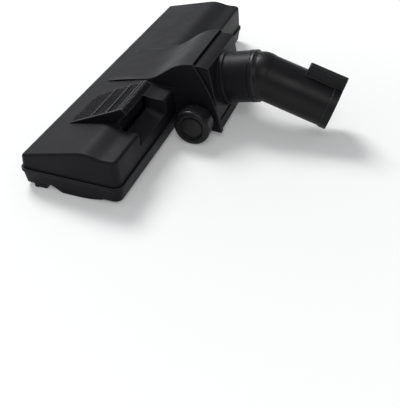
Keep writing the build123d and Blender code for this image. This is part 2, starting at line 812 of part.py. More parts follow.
hub_r = wheel_r - tyre_thick
wheel_outer = wheel_inner + wheel_width
cap_seat = wheel_outer - cap_thick
head_seat = cap_seat - axle_head - slip
for side_name, side in (("left", 1), ("right", -1)):
    wheel_axis = Axis((0, wheel_y, wheel_r), (1, 0, 0))
    wheel_plane = Plane(origin=(0, wheel_y, wheel_r), x_dir=(side, 0, 0), z_dir=(0, -side, 0))
    with BuildPart() as tyre:
        with BuildSketch(wheel_plane) as tyre_section:
            with Locations(((wheel_inner + wheel_outer) / 2, wheel_r - tyre_thick / 2)):
                Rectangle(wheel_width, tyre_thick)
            fillet(tyre_section.vertices().group_by(Axis.Y)[-1], tyre_round)
        revolve(axis=wheel_axis)
    tyre.part.label = f"{side_name}_tyre"
    export_step(tyre.part, f"parts/{side_name}_tyre.step")
    with BuildPart() as hub:
        with BuildSketch(wheel_plane):
            with BuildLine():
                Polyline(
                    (wheel_inner - hub_boss_length, axle_r + running),
                    (wheel_inner - hub_boss_length, hub_boss_r),
                    (wheel_inner + face_recess, hub_boss_r),
                    (wheel_inner + face_recess, hub_r - seat),
                    (wheel_outer - face_recess, hub_r - seat),
                    (wheel_outer - face_recess, cap_r + face_recess),
                    (cap_seat, cap_r + face_recess),
                    (cap_seat, axle_head_r + slip),
                    (head_seat, axle_head_r + slip),
                    (head_seat, axle_r + running),
                    close=True,
                )
            make_face()
        revolve(axis=wheel_axis)
    hub.part.label = f"{side_name}_hub"
    export_step(hub.part, f"parts/{side_name}_hub.step")
    with BuildPart() as cap:
        with BuildSketch(wheel_plane):
            with BuildLine():
                Polyline(
                    (wheel_outer - face_recess, cap_r),
                    (cap_seat, cap_r),
                    (cap_seat, 0),
                    (wheel_outer, 0),
                )
                ThreePointArc(
                    (wheel_outer, 0),
                    (wheel_outer - face_recess / 4, cap_r / 2),
                    (wheel_outer - face_recess, cap_r),
                )
            make_face()
        revolve(axis=wheel_axis)
    cap.part.label = f"{side_name}_cap"
    export_step(cap.part, f"parts/{side_name}_cap.step")
    with BuildPart() as axle:
        with BuildSketch(wheel_plane):
            with BuildLine():
                Polyline(
                    (bay_half + slip, 0),
                    (bay_half + slip, axle_r),
                    (head_seat + running, axle_r),
                    (head_seat + running, axle_head_r),
                    (head_seat + axle_head, axle_head_r),
                    (head_seat + axle_head, 0),
                    close=True,
                )
            make_face()
        revolve(axis=wheel_axis)
    axle.part.label = f"{side_name}_axle"
    export_step(axle.part, f"parts/{side_name}_axle.step")

# Pedal: a ribbed wedge, open below, with a tongue that presses on the brush carriage

with BuildPart() as pedal_inside:
    with BuildSketch(Plane.YZ.offset(pedal_near)):
        with BuildLine():
            inner_rear = pedal_rear - undercut_gap - pedal_wall
            Polyline(
                (pedal_front, 0),
                (pedal_front, pedal_z - pedal_plate),
                (pedal_rear - pedal_wall, pedal_z + (pedal_depth - pedal_wall) * pedal_slope - pedal_plate),
                (inner_rear, pedal_z + undercut_z),
                (inner_rear, 0),
                close=True,
            )
        make_face()
    extrude(amount=pedal_width)
    extrude(pedal_plan(0, pedal_wall, pedal_rear), amount=hood_top, mode=Mode.INTERSECT)

with BuildPart() as pedal:
    with BuildSketch(Plane.YZ.offset(pedal_near)):
        with BuildLine():
            top_rear = (pedal_rear, pedal_z + pedal_depth * pedal_slope)
            Polyline(
                (pedal_front, pedal_z),
                top_rear,
                (pedal_rear + lip_back, top_rear[1] - lip_drop),
                (pedal_rear - undercut_gap, pedal_z + undercut_z),
                (pedal_front + 2 * pivot_gap, pivot[1] - pivot_gap / 2),
                (pedal_front + pedal_wall, pivot[1] - pivot_gap / 2),
                (pedal_front, pedal_z - pedal_wall),
                close=True,
            )
        make_face()
    extrude(amount=pedal_width)
    extrude(pedal_plan(0, 0, pedal_rear + lip_back), amount=hood_top, mode=Mode.INTERSECT)
    add(pedal_inside.part, mode=Mode.SUBTRACT)
    # Raised border along the outer side
    with BuildSketch(Plane.YZ.offset(pedal_far - rib_width)):
        with BuildLine():
            Polyline(
                (pedal_front, pedal_z),
                top_rear,
                (top_rear[0], top_rear[1] + rib_height),
                (pedal_front, pedal_z + rib_height),
                close=True,
            )
        make_face()
    extrude(amount=rib_width)
    # Ridges between the grip bands, and a double one along the raised edge
    for gap in (*band_gaps, pedal_depth - 3 * rib_width, pedal_depth - rib_width):
        ridge_z = pedal_z + gap * pedal_slope
        with BuildSketch(Plane.YZ.offset(pedal_near)):
            with Locations(Location((pedal_front + gap, ridge_z), pedal_rise)):
                Rectangle(rib_width, 2 * rib_height)
        extrude(amount=pedal_width)
    # Tongue
    tongue_y = pivot[0] + tongue_back
    tongue_low = carriage_z + carriage_thick + slip
    with BuildSketch(Plane.XY.offset(tongue_low)):
        with Locations((pedal_x, tongue_y)):
            Rectangle(tongue_width, tongue_thick)
    extrude(amount=pedal_z + (tongue_y - pedal_front) * pedal_slope - pedal_plate - tongue_low)
    with BuildSketch(Plane.YZ.offset(pedal_near)):
        with Locations(pivot):
            Circle(pivot_r + running)
    extrude(amount=pedal_width, mode=Mode.SUBTRACT)
pedal.part.label = "pedal"
export_step(pedal.part, "parts/pedal.step")

with BuildPart() as pedal_pin:
    with BuildSketch(Plane.YZ.offset(pedal_near - slip - pivot_boss)):
        with Locations(pivot):
            Circle(pivot_r)
    extrude(amount=pedal_width + 2 * (slip + pivot_boss))
pedal_pin.part.label = "pedal_pin"
export_step(pedal_pin.part, "parts/pedal_pin.step")

# Brush carriage: bars over the slots, joined by links

with BuildPart() as brush_carriage:
    bar_half = slot_half - slip
    rear_bar = rear_slot_length - 2 * slip
    with BuildSketch(Plane.XY.offset(carriage_z)):
        with Locations((0, front_row_y)):
            Rectangle(2 * bar_half, carriage_bar)
        with Locations(*[(side * (slot_half - rear_slot_length / 2), rear_row_y) for side in (-1, 1)]):
            Rectangle(rear_bar, carriage_bar)
        link_middle = (front_row_y + rear_row_y) / 2
        for link_x in (pedal_x, link_outer):
            with Locations((link_x, link_middle), (-link_x, link_middle)):
                Rectangle(link_width, rear_row_y - front_row_y)
    extrude(amount=carriage_thick)
brush_carriage.part.label = "brush_carriage"
export_step(brush_carriage.part, "parts/brush_carriage.step")

with BuildPart() as front_bristles:
    with BuildSketch(Plane.XY.offset(brush_tip)):
        with Locations((0, front_row_y)):
            Rectangle(2 * bar_half, brush_width)
    extrude(amount=carriage_z - brush_tip)
front_bristles.part.label = "front_bristles"
export_step(front_bristles.part, "parts/front_bristles.step")

with BuildPart() as rear_bristles:
    with BuildSketch(Plane.XY.offset(brush_tip)):
        with Locations(*[(side * (slot_half - rear_slot_length / 2), rear_row_y) for side in (-1, 1)]):
            Rectangle(rear_bar, brush_width)
    extrude(amount=carriage_z - brush_tip)
rear_bristles.part.label = "rear_bristles"
export_step(rear_bristles.part, "parts/rear_bristles.step")

# Leaf springs that lift the carriage

for side_name, side in (("left", 1), ("right", -1)):
    with BuildPart() as lift_spring:
        with BuildSketch(Plane.YZ.offset(side * link_outer - spring_width / 2)):
            with BuildLine():
                foot = sole_top + seat
                peak = carriage_z - seat
                Polyline(
                    (link_middle - spring_span / 2, foot + spring_thick),
                    (link_middle - spring_span / 2, foot),
                )
                ThreePointArc(
                    (link_middle - spring_span / 2, foot),
                    (link_middle, peak - spring_thick),
                    (link_middle + spring_span / 2, foot),
                )
                Line(
                    (link_middle + spring_span / 2, foot),
                    (link_middle + spring_span / 2, foot + spring_thick),
                )
                ThreePointArc(
                    (link_middle + spring_span / 2, foot + spring_thick),
                    (link_middle, peak),
                    (link_middle - spring_span / 2, foot + spring_thick),
                )
            make_face()
        extrude(amount=spring_width)
    lift_spring.part.label = f"lift_spring_{side_name}"
    export_step(lift_spring.part, f"parts/lift_spring_{side_name}.step")
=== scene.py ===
import math
import random

import bmesh
import bpy
from mathutils import Matrix, Vector


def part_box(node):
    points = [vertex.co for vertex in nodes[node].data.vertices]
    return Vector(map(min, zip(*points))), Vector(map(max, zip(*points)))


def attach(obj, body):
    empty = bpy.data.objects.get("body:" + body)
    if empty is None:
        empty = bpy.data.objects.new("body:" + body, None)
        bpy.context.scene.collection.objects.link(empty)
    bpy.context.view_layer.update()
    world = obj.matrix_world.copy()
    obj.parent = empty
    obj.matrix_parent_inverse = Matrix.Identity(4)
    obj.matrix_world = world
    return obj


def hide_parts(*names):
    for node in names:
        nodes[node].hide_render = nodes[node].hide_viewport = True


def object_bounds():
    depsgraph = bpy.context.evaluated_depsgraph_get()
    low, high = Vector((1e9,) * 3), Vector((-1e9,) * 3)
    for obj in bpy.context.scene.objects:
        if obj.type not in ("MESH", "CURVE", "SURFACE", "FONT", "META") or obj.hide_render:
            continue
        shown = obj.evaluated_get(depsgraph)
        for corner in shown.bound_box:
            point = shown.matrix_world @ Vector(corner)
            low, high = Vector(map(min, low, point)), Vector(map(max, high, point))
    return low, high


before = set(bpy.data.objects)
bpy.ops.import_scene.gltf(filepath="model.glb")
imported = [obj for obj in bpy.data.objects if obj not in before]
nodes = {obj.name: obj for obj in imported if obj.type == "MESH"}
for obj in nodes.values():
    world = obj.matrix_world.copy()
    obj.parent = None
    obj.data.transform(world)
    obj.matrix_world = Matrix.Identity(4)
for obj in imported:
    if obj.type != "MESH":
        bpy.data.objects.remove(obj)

cad_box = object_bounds()
scene = bpy.context.scene
MM = 0.001
UP = Vector((0, 0, 1))
DOWN = Vector((0, 0, -1))

# Camera, matched to the photograph's edges for an image of 400 by 408 pixels
CAMERA_PLACE = Vector((424.87, 140.13, 275.73)) * MM
CAMERA_AZIMUTH = math.radians(110.315)
CAMERA_ELEVATION = math.radians(40.058)
CAMERA_ROLL = math.radians(-0.429)
CAMERA_NEAR = 0.01
FOCAL_PIXELS = 619.8
IMAGE_HEIGHT = 408
SENSOR = 36.0

# Sockets of a mix node that carry colours
MIX_FIRST = 6
MIX_SECOND = 7
MIX_RESULT = 2

# Range that holds the bulk of a noise
NOISE_LOW = 0.3
NOISE_HIGH = 0.7

# Plastic
PLASTIC_IOR = 1.3
PATCH_SIZE = 22 * MM
PATCH_DETAIL = 4.0
PATCH_SPREAD = 0.06

# Softened edges, with cosines between the rounded and the plain normal; the edge mask also
# lightens the colour there as a painted highlight
EDGE_RADIUS = 0.6 * MM
EDGE_SAMPLES = 6
EDGE_FLAT = 0.995
EDGE_SHARP = 0.8

# Crevices, with the share of open surroundings; their mask darkens the colour there as painted
# shade
CREVICE_PAINTED_SHADE = (0.001, 0.001, 0.001)
CREVICE_REACH = 1.5 * MM
CREVICE_SAMPLES = 8
CREVICE_OPEN = 0.75
CREVICE_DEEP = 0.35

# Grip hatch on the pedal
HATCH_PITCH = 1.5 * MM
HATCH_REACH = HATCH_PITCH / math.sqrt(2)
HATCH_HEIGHT = 0.5 * MM
HATCH_ROOT = 0.05 * MM
HATCH_LEVEL = 0.25
HATCH_CORNERS = ((1, 0), (0, 1), (-1, 0), (0, -1))

# Skirt under the pedal, whose top edge follows the pedal a little further in
SKIRT_INSET = 0.4 * MM
SKIRT_FRONT = -62.0 * MM
SKIRT_REAR = -43.2 * MM
SKIRT_CORNER = 2.5 * MM
SKIRT_TURNS = (90, 60, 30, 0)
SKIRT_LOW = 27.0 * MM
SKIRT_SINK = 1.4 * MM
SKIRT_THICK = 1.0 * MM
SKIRT_ROWS = 6
SKIRT_PROBE = 0.8

# Raised edge where the hood's sides start, from front to rear
BROW_FRONT = Vector((29.25, -86.0)) * MM
BROW_REAR = Vector((31.0, -46.0)) * MM
BROW_HEIGHT = 1.15 * MM
BROW_REACH = 9.0 * MM
BROW_ROOT = 0.5 * MM
BROW_SINK = 0.04 * MM
BROW_LEAN = 0.8
BROW_FULLNESS = 0.7
BROW_STATIONS = 48
BROW_COLUMNS = (0.0, 0.03, 0.1, 0.2, 0.35, 0.5, 0.65, 0.8, 0.9, 1.0)
BROW_STEEP = 0.8

# Grooves beside the hood, on the cover's ramp
GROOVE_END_Y = -56.5 * MM
GROOVE_END_Z = 35.95 * MM
GROOVE_SLOPE = 0.2468
GROOVE_SPREAD = 1.5 * MM
GROOVE_ROOM = 0.15 * MM

# Scoop behind the pedal
SCOOP_LOW = Vector((51.0, -39.0, 22.0)) * MM
SCOOP_HIGH = Vector((100.5, -14.0, 34.5)) * MM

# Material slots of the cover's places with painted shade
CREASE_SLOT = 1
RECESS_SLOT = 2

# Feet under both ends, between the front brush and the air channel
FOOT_FRONT = -91.8 * MM
FOOT_REAR = -81.2 * MM
FOOT_LOW = 0.2 * MM
FOOT_TOP = 5.0 * MM
FOOT_ROUND = 2.0 * MM
FOOT_STEPS = 6
FOOT_INNER = 131.0 * MM
FOOT_OUTER = 138.2 * MM

# Brush rows
TUFT_PITCH = 3.6 * MM
TUFT_HALF_X = 1.45 * MM
TUFT_TURN = math.pi * (3 - math.sqrt(5))
ROW_END_DIGITS = 5
FILAMENTS = 34
FILAMENT_SIDES = 3
FILAMENT_R = 0.13 * MM
FILAMENT_TIP_R = 0.8 * FILAMENT_R
FILAMENT_SPLAY = 0.12
FILAMENT_UNEVEN = 0.35 * MM

# Lint strips
RIB_PITCH = 1.25 * MM
RIB_DEPTH = 0.32 * MM
RIB_STEPS = 8
STRIP_ROWS = 14
STRIP_ROUND = 0.45 * MM
PILE_UNEVEN = 0.035 * MM

# Screws
SCREW_SIDES = 32
SCREW_TIP_R = 0.145 * MM
HEAD_HEIGHT = 1.8 * MM
HEAD_FLAT_R = 2.0 * MM
HEAD_DOME = 0.45 * MM
SHOULDER_IN = 0.5 * HEAD_DOME
SHOULDER_UP = 0.35 * HEAD_DOME
CROSS_ARM = 1.35 * MM
CROSS_HALF = 0.34 * MM
CROSS_DEEP = 0.95 * MM
CROSS_TAPER = 0.7
SHANK_R = 1.45 * MM
THREAD_DEEP = 0.3 * MM
THREAD_PITCH = 1.3 * MM
THREAD_VALLEY = 0.3 * THREAD_PITCH
THREAD_CREST = 0.65 * THREAD_PITCH

# Floor, whose glow grows with the distance from the middle
WHITE = (1, 1, 1, 1)
FLOOR_COLOUR = (0.77, 0.77, 0.77, 1)
FLOOR_Z = -0.5 * MM
FLOOR_HALF = 6.0
NEAR_GLOW = 0.16
FAR_GLOW = 0.7
GLOW_START = 0.1
GLOW_END = 1.4

# Surroundings, by the height of the direction
SKY_COLOUR = (0.96, 0.98, 1.0, 1)
SKY_LEVEL = 0.3
HAZE_LEVEL = 1.0
HAZE_LOW = 0.06
HAZE_HIGH = 0.22

# Lights
LIGHT_SIZE = 0.9
KEY_PLACE = Vector((-0.9, -1.2, 1.8))
KEY_TARGET = Vector((0, 0, 0))
KEY_POWER = 45
FILL_PLACE = Vector((1.3, 0.45, 1.6))
FILL_TARGET = Vector((0, 0.05, 0.03))
FILL_POWER = 9


def add_camera():
    """Camera at the photograph's viewpoint."""
    data = bpy.data.cameras.new("camera")
    data.sensor_width = SENSOR
    data.lens = FOCAL_PIXELS * SENSOR / IMAGE_HEIGHT
    data.clip_start = CAMERA_NEAR
    camera = bpy.data.objects.new("camera", data)
    scene.collection.objects.link(camera)
    flat = math.cos(CAMERA_ELEVATION)
    back = Vector((
        math.sin(CAMERA_AZIMUTH) * flat,
        -math.cos(CAMERA_AZIMUTH) * flat,
        math.sin(CAMERA_ELEVATION),
    ))
    right = UP.cross(back).normalized()
    up = back.cross(right)
    turn = Matrix((right, up, back)).transposed()
    turn = turn @ Matrix.Rotation(CAMERA_ROLL, 3, "Z")
    camera.matrix_world = Matrix.Translation(CAMERA_PLACE) @ turn.to_4x4()
    scene.camera = camera


# Shader nodes

def shader_node(tree, kind, **inputs):
    """New shader node with its input values set by name."""
    made = tree.nodes.new("ShaderNode" + kind)
    for name, value in inputs.items():
        made.inputs[name.replace("_", " ")].default_value = value
    return made


def principled(name, **inputs):
    """New material with its node tree and its main shader."""
    material = bpy.data.materials.new(name)
    material.use_nodes = True
    shader = material.node_tree.nodes["Principled BSDF"]
    for key, value in inputs.items():
        shader.inputs[key.replace("_", " ")].default_value = value
    return material, material.node_tree, shader


def combine(tree, operation, first, second):
    """Value worked out from two others."""
    worked = tree.nodes.new("ShaderNodeMath")
    worked.operation = operation
    tree.links.new(first, worked.inputs[0])
    tree.links.new(second, worked.inputs[1])
    return worked.outputs["Value"]


def map_range(tree, value, start, end, low, high):
    """Value between start and end, mapped to a range from low to high."""
    ramp = shader_node(
        tree, "MapRange", From_Min=start, From_Max=end, To_Min=low, To_Max=high
    )
    tree.links.new(value, ramp.inputs["Value"])
    return ramp.outputs["Result"]


def noise_at(tree, size, detail=3.0):
    """Noise whose lumps have about this size, in the part's own frame."""
    place = shader_node(tree, "TexCoord")
    noise = shader_node(tree, "TexNoise", Scale=1 / size, Detail=detail)
    tree.links.new(place.outputs["Object"], noise.inputs["Vector"])
    return noise.outputs["Fac"]


def spread(tree, noise, low, high):
    """Bulk of a noise, mapped to a range."""
    return map_range(tree, noise, NOISE_LOW, NOISE_HIGH, low, high)


def blend_colour(tree, factor, first, second):
    """Colour between two, where the first may come from another node."""
    mix = tree.nodes.new("ShaderNodeMix")
    mix.data_type = "RGBA"
    tree.links.new(factor, mix.inputs["Factor"])
    mix.inputs[MIX_SECOND].default_value = (*second, 1)
    if isinstance(first, tuple):
        mix.inputs[MIX_FIRST].default_value = (*first, 1)
    else:
        tree.links.new(first, mix.inputs[MIX_FIRST])
    return mix.outputs[MIX_RESULT]


def soft_edges(tree, radius):
    """Normal that rounds sharp edges, and a mask of those edges."""
    bevel = shader_node(tree, "Bevel", Radius=radius)
    bevel.samples = EDGE_SAMPLES
    surface = shader_node(tree, "NewGeometry")
    turn = tree.nodes.new("ShaderNodeVectorMath")
    turn.operation = "DOT_PRODUCT"
    tree.links.new(bevel.outputs["Normal"], turn.inputs[0])
    tree.links.new(surface.outputs["Normal"], turn.inputs[1])
    mask = map_range(tree, turn.outputs["Value"], EDGE_FLAT, EDGE_SHARP, 0.0, 1.0)
    return bevel.outputs["Normal"], mask


def crevices(tree):
    """1 deep in narrow gaps and corners, 0 on open faces."""
    open_sky = shader_node(tree, "AmbientOcclusion", Distance=CREVICE_REACH)
    open_sky.samples = CREVICE_SAMPLES
    return map_range(tree, open_sky.outputs["AO"], CREVICE_OPEN, CREVICE_DEEP, 0.0, 1.0)


def add_bump(tree, shader, height, depth, normal=None):
    """Relief of this depth on the shader's normal."""
    bump = shader_node(tree, "Bump", Strength=1.0, Distance=depth)
    tree.links.new(height, bump.inputs["Height"])
    if normal:
        tree.links.new(normal, bump.inputs["Normal"])
    tree.links.new(bump.outputs["Normal"], shader.inputs["Normal"])


# Materials

def moulded_plastic(name, colour, edge_highlight, roughness, specular, grain, depth, edge=EDGE_RADIUS):
    """Plastic with a fine grain, uneven gloss, a painted highlight along sharp edges, and painted
    shade in crevices, which are also rougher.
    """
    material, tree, shader = principled(name, IOR=PLASTIC_IOR, Specular_IOR_Level=specular)
    rounded, edges = soft_edges(tree, edge)
    gaps = crevices(tree)
    # Lighter colour along sharp edges: a painted highlight.
    shade = blend_colour(tree, edges, colour, edge_highlight)
    # Darker colour in crevices and corners: painted shade.
    shade = blend_colour(tree, gaps, shade, CREVICE_PAINTED_SHADE)
    tree.links.new(shade, shader.inputs["Base Color"])
    patches = noise_at(tree, PATCH_SIZE, PATCH_DETAIL)
    gloss = spread(tree, patches, roughness - PATCH_SPREAD, roughness + PATCH_SPREAD)
    tree.links.new(combine(tree, "MAXIMUM", gloss, gaps), shader.inputs["Roughness"])
    add_bump(tree, shader, noise_at(tree, grain), depth, rounded)
    return material


def mottled(name, dark, pale, size, detail, **inputs):
    """New material of an uneven colour, with its tree, its shader and the noise."""
    material, tree, shader = principled(name, **inputs)
    cloud = noise_at(tree, size, detail)
    tree.links.new(blend_colour(tree, cloud, dark, pale), shader.inputs["Base Color"])
    return material, tree, shader, cloud


def rubber(name):
    """Black rubber, a little dusty."""
    material, tree, shader, dust = mottled(
        name,
        dark=(0.006, 0.006, 0.007),
        pale=(0.014, 0.014, 0.015),
        size=3 * MM,
        detail=6.0,
        IOR=PLASTIC_IOR,
        Specular_IOR_Level=0.5,
    )
    tree.links.new(spread(tree, dust, low=0.24, high=0.36), shader.inputs["Roughness"])
    add_bump(tree, shader, noise_at(tree, size=0.6 * MM), depth=0.02 * MM)
    return material


def zinc_steel(name):
    """Bright plated steel with fine scratches."""
    material, tree, shader, cloud = mottled(
        name,
        dark=(0.52, 0.52, 0.53),
        pale=(0.72, 0.72, 0.73),
        size=1.2 * MM,
        detail=5.0,
        Metallic=1.0,
    )
    tree.links.new(spread(tree, cloud, low=0.22, high=0.38), shader.inputs["Roughness"])
    add_bump(tree, shader, noise_at(tree, size=0.25 * MM), depth=0.008 * MM)
    return material


def velour(name):
    """Red pile with a soft sheen."""
    material, tree, shader, pile = mottled(
        name,
        dark=(0.2, 0.012, 0.02),
        pale=(0.5, 0.05, 0.06),
        size=0.35 * MM,
        detail=2.0,
        Roughness=0.9,
        Sheen_Weight=0.5,
        Sheen_Roughness=0.4,
        Specular_IOR_Level=0.15,
    )
    add_bump(tree, shader, pile, depth=0.12 * MM)
    return material


def nylon(name):
    """Black filaments, some a little paler."""
    material, _, _, _ = mottled(
        name,
        dark=(0.006, 0.006, 0.007),
        pale=(0.03, 0.03, 0.032),
        size=0.9 * MM,
        detail=1.0,
        Roughness=0.45,
        Specular_IOR_Level=0.4,
    )
    return material


def felt(name):
    """Dark grey felt."""
    material, tree, shader, fuzz = mottled(
        name,
        dark=(0.02, 0.02, 0.022),
        pale=(0.06, 0.06, 0.064),
        size=0.3 * MM,
        detail=5.0,
        Roughness=0.95,
        Specular_IOR_Level=0.1,
    )
    add_bump(tree, shader, fuzz, depth=0.1 * MM)
    return material


def paint(material, *names):
    """Gives CAD nodes one material."""
    for name in names:
        slots = nodes[name].data.materials
        slots.clear()
        slots.append(material)


# Meshes

def add_piece(name, mesh, material, body):
    """Puts a mesh in the scene as a piece that rides on a body."""
    mesh.materials.append(material)
    piece = bpy.data.objects.new(name, mesh)
    scene.collection.objects.link(piece)
    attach(piece, body)
    return piece


def settle(shape, mesh):
    """Puts an open bmesh into a mesh, with its normals outwards."""
    bmesh.ops.recalc_face_normals(shape, faces=shape.faces)
    shape.to_mesh(mesh)
    shape.free()
    return mesh


def mesh_from(name, points, faces):
    """Mesh from points and faces, with its normals outwards."""
    mesh = bpy.data.meshes.new(name)
    mesh.from_pydata(points, [], faces)
    shape = bmesh.new()
    shape.from_mesh(mesh)
    return settle(shape, mesh)


def ring_quads(first, second):
    """Corners of the faces between two closed rings."""
    first_ahead = first[1:] + first[:1]
    second_ahead = second[1:] + second[:1]
    return list(zip(first, first_ahead, second_ahead, second))


def closed_sheet(grid):
    """Faces of a sheet whose points come in pairs, top then bottom, with its rim closed."""
    faces = []
    for line, following in zip(grid, grid[1:]):
        for here, beside, ahead, corner in zip(line, line[1:], following, following[1:]):
            faces.append((here, beside, corner, ahead))
            faces.append((here + 1, ahead + 1, corner + 1, beside + 1))
    rim = grid[0] + [line[-1] for line in grid[1:]]
    rim += grid[-1][-2::-1]
    rim += [line[0] for line in grid[-2:0:-1]]
    return faces + ring_quads(rim, [index + 1 for index in rim])


def drop_on(node, x, y):
    """Point of a CAD node's top at this place, and its normal."""
    above = Vector((x, y, cad_box[1][2] + MM))
    hit, point, normal, _ = nodes[node].ray_cast(above, DOWN)
    return (point, normal) if hit else (None, None)


# Pedal

def hatch_feet(x, y):
    """Points of the pedal's top at the corners of a pyramid, where it has them."""
    return [
        drop_on("pedal", x + HATCH_REACH * out_x, y + HATCH_REACH * out_y)[0]
        for out_x, out_y in HATCH_CORNERS
    ]


def add_pyramid(points, faces, feet, slope):
    """One pyramid of the hatch, with its corners a little below the pedal's top."""
    first = len(points)
    count = len(feet)
    points.extend(foot - HATCH_ROOT * slope for foot in feet)
    points.append(sum(feet, Vector()) / count + HATCH_HEIGHT * slope)
    for side in range(count):
        faces.append((first + side, first + (side + 1) % count, first + count))


def pedal_hatch(material):
    """Diamond lattice of small pyramids on the flat bands of the pedal's top."""
    low, high = (Vector(corner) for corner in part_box("pedal"))
    size = high - low
    middle, slope = drop_on("pedal", low.x + size.x / 2, low.y + HATCH_LEVEL * size.y)
    level = middle.dot(slope)
    points = []
    faces = []
    for column in range(int(size.x / HATCH_REACH) + 1):
        for row in range(column % 2, int(size.y / HATCH_REACH) + 1, 2):
            feet = hatch_feet(low.x + column * HATCH_REACH, low.y + row * HATCH_REACH)
            if None in feet:
                continue
            if all(abs(foot.dot(slope) - level) <= HATCH_ROOT for foot in feet):
                add_pyramid(points, faces, feet, slope)
    mesh = mesh_from("pedal_hatch", points, faces)
    add_piece("pedal_hatch", mesh, material, "pedal")


def skirt_path(half):
    """Places round the skirt from front to front, with their outward directions."""
    path = [(half, SKIRT_FRONT, 1, 0)]
    for degrees in SKIRT_TURNS:
        out_x = math.sin(math.radians(degrees))
        out_y = math.cos(math.radians(degrees))
        x = half - SKIRT_CORNER + SKIRT_CORNER * out_x
        y = SKIRT_REAR - SKIRT_CORNER + SKIRT_CORNER * out_y
        path.append((x, y, out_x, out_y))
    return path + [(-x, y, -out_x, out_y) for x, y, out_x, out_y in reversed(path)]


def pedal_skirt(material):
    """Walls under the pedal's raised edge and sides that close the gap to the cover."""
    low, high = (Vector(corner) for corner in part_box("pedal"))
    middle = (low.x + high.x) / 2
    half = (high.x - low.x) / 2 - SKIRT_INSET
    points = []
    grid = []
    for x, y, out_x, out_y in skirt_path(half):
        top, _ = drop_on("pedal", middle + SKIRT_PROBE * x, y)
        rise = top.z - SKIRT_SINK - SKIRT_LOW
        line = []
        for row in range(SKIRT_ROWS + 1):
            outer = Vector((middle + x, y, SKIRT_LOW + rise * row / SKIRT_ROWS))
            line.append(len(points))
            points.append(outer)
            points.append(outer - SKIRT_THICK * Vector((out_x, out_y, 0)))
        grid.append(line)
    mesh = mesh_from("pedal_skirt", points, closed_sheet(grid))
    add_piece("pedal_skirt", mesh, material, "pedal")


# Cover and sole

def in_groove(point):
    """Whether a point of the cover lies in one of the grooves beside the hood."""
    if not BROW_FRONT.y < point.y < GROOVE_END_Y:
        return False
    along = (point.y - BROW_FRONT.y) / (BROW_REAR.y - BROW_FRONT.y)
    beside = abs(point.x) - BROW_FRONT.lerp(BROW_REAR, along).x
    ramp = GROOVE_END_Z + GROOVE_SLOPE * (point.y - GROOVE_END_Y)
    return abs(beside) < GROOVE_SPREAD and point.z < ramp - GROOVE_ROOM


def in_scoop(point):
    """Whether a point of the cover lies in the scoop behind the pedal."""
    return all(low < value < high for low, value, high in zip(SCOOP_LOW, point, SCOOP_HIGH))


def paint_recess_shade(crease, recess):
    """Painted shade in the cover's grooves and in its scoop, as separate copies of the plastic."""
    mesh = nodes["upper_cover"].data
    mesh.materials.append(crease)
    mesh.materials.append(recess)
    for face in mesh.polygons:
        if in_groove(face.center):
            face.material_index = CREASE_SLOT
        elif in_scoop(face.center):
            face.material_index = RECESS_SLOT


def brow_grid(side, points):
    """Grid of one raised edge, each place with a point on top and one in the cover."""
    grid = []
    for station in range(BROW_STATIONS + 1):
        along = station / BROW_STATIONS
        edge = BROW_FRONT.lerp(BROW_REAR, along)
        swell = math.sin(math.pi * along ** BROW_LEAN) ** BROW_FULLNESS
        line = []
        for share in BROW_COLUMNS:
            point, _ = drop_on("upper_cover", side * (edge.x - share * BROW_REACH), edge.y)
            lift = BROW_HEIGHT * swell * (1 - share) ** 2 - BROW_SINK
            line.append(len(points))
            points.append(point + lift * UP)
            points.append(point - BROW_ROOT * UP)
        grid.append(line)
    return grid


def hood_brow(material, painted_shade):
    """Low raised edges that run forward from the hood's sides and die into the cover."""
    points = []
    faces = []
    for side in (-1, 1):
        faces += closed_sheet(brow_grid(side, points))
    mesh = mesh_from("hood_brow", points, faces)
    mesh.shade_smooth()
    add_piece("hood_brow", mesh, material, "housing")
    # Second slot: the near-black crease material on the steep outer walls, as painted shade.
    mesh.materials.append(painted_shade)
    for face in mesh.polygons:
        face.material_index = int(abs(face.normal.x) > BROW_STEEP)


def foot_outline():
    """Side view of a foot, as pairs of depth and height."""
    front = []
    rear = []
    for step in range(FOOT_STEPS + 1):
        angle = step * math.pi / 2 / FOOT_STEPS
        small = FOOT_ROUND * (1 - math.cos(angle))
        large = FOOT_ROUND * (1 - math.sin(angle))
        front.append((FOOT_FRONT + small, FOOT_LOW + large))
        rear.append((FOOT_REAR - large, FOOT_LOW + small))
    return [(FOOT_FRONT, FOOT_TOP), *front, *rear, (FOOT_REAR, FOOT_TOP)]


def end_feet(material):
    """Rounded feet under both ends of the sole."""
    outline = foot_outline()
    points = []
    faces = []
    for side in (-1, 1):
        rings = []
        for x in (FOOT_INNER, FOOT_OUTER):
            rings.append(list(range(len(points), len(points) + len(outline))))
            points += [Vector((side * x, y, z)) for y, z in outline]
        faces += [tuple(ring) for ring in rings]
        faces += ring_quads(*rings)
    mesh = mesh_from("end_feet", points, faces)
    add_piece("end_feet", mesh, material, "housing")


# Brush rows

def tuft_centres(node):
    """Places of the tufts along the bars of a row."""
    ends = sorted({round(vertex.co.x, ROW_END_DIGITS) for vertex in nodes[node].data.vertices})
    centres = []
    for start, end in zip(ends[::2], ends[1::2]):
        tufts = round((end - start) / TUFT_PITCH)
        centres += [start + (tuft + 0.5) * (end - start) / tufts for tuft in range(tufts)]
    return centres


def add_filament(points, faces, root, tip, twist):
    """One thin filament, closed at its tip."""
    rings = []
    for place, radius in ((root, FILAMENT_R), (tip, FILAMENT_TIP_R)):
        ring = []
        for side in range(FILAMENT_SIDES):
            angle = side * math.tau / FILAMENT_SIDES + twist
            ring.append(len(points))
            points.append(place + radius * Vector((math.cos(angle), math.sin(angle), 0)))
        rings.append(ring)
    faces.extend(ring_quads(*rings))
    faces.append(tuple(reversed(rings[1])))


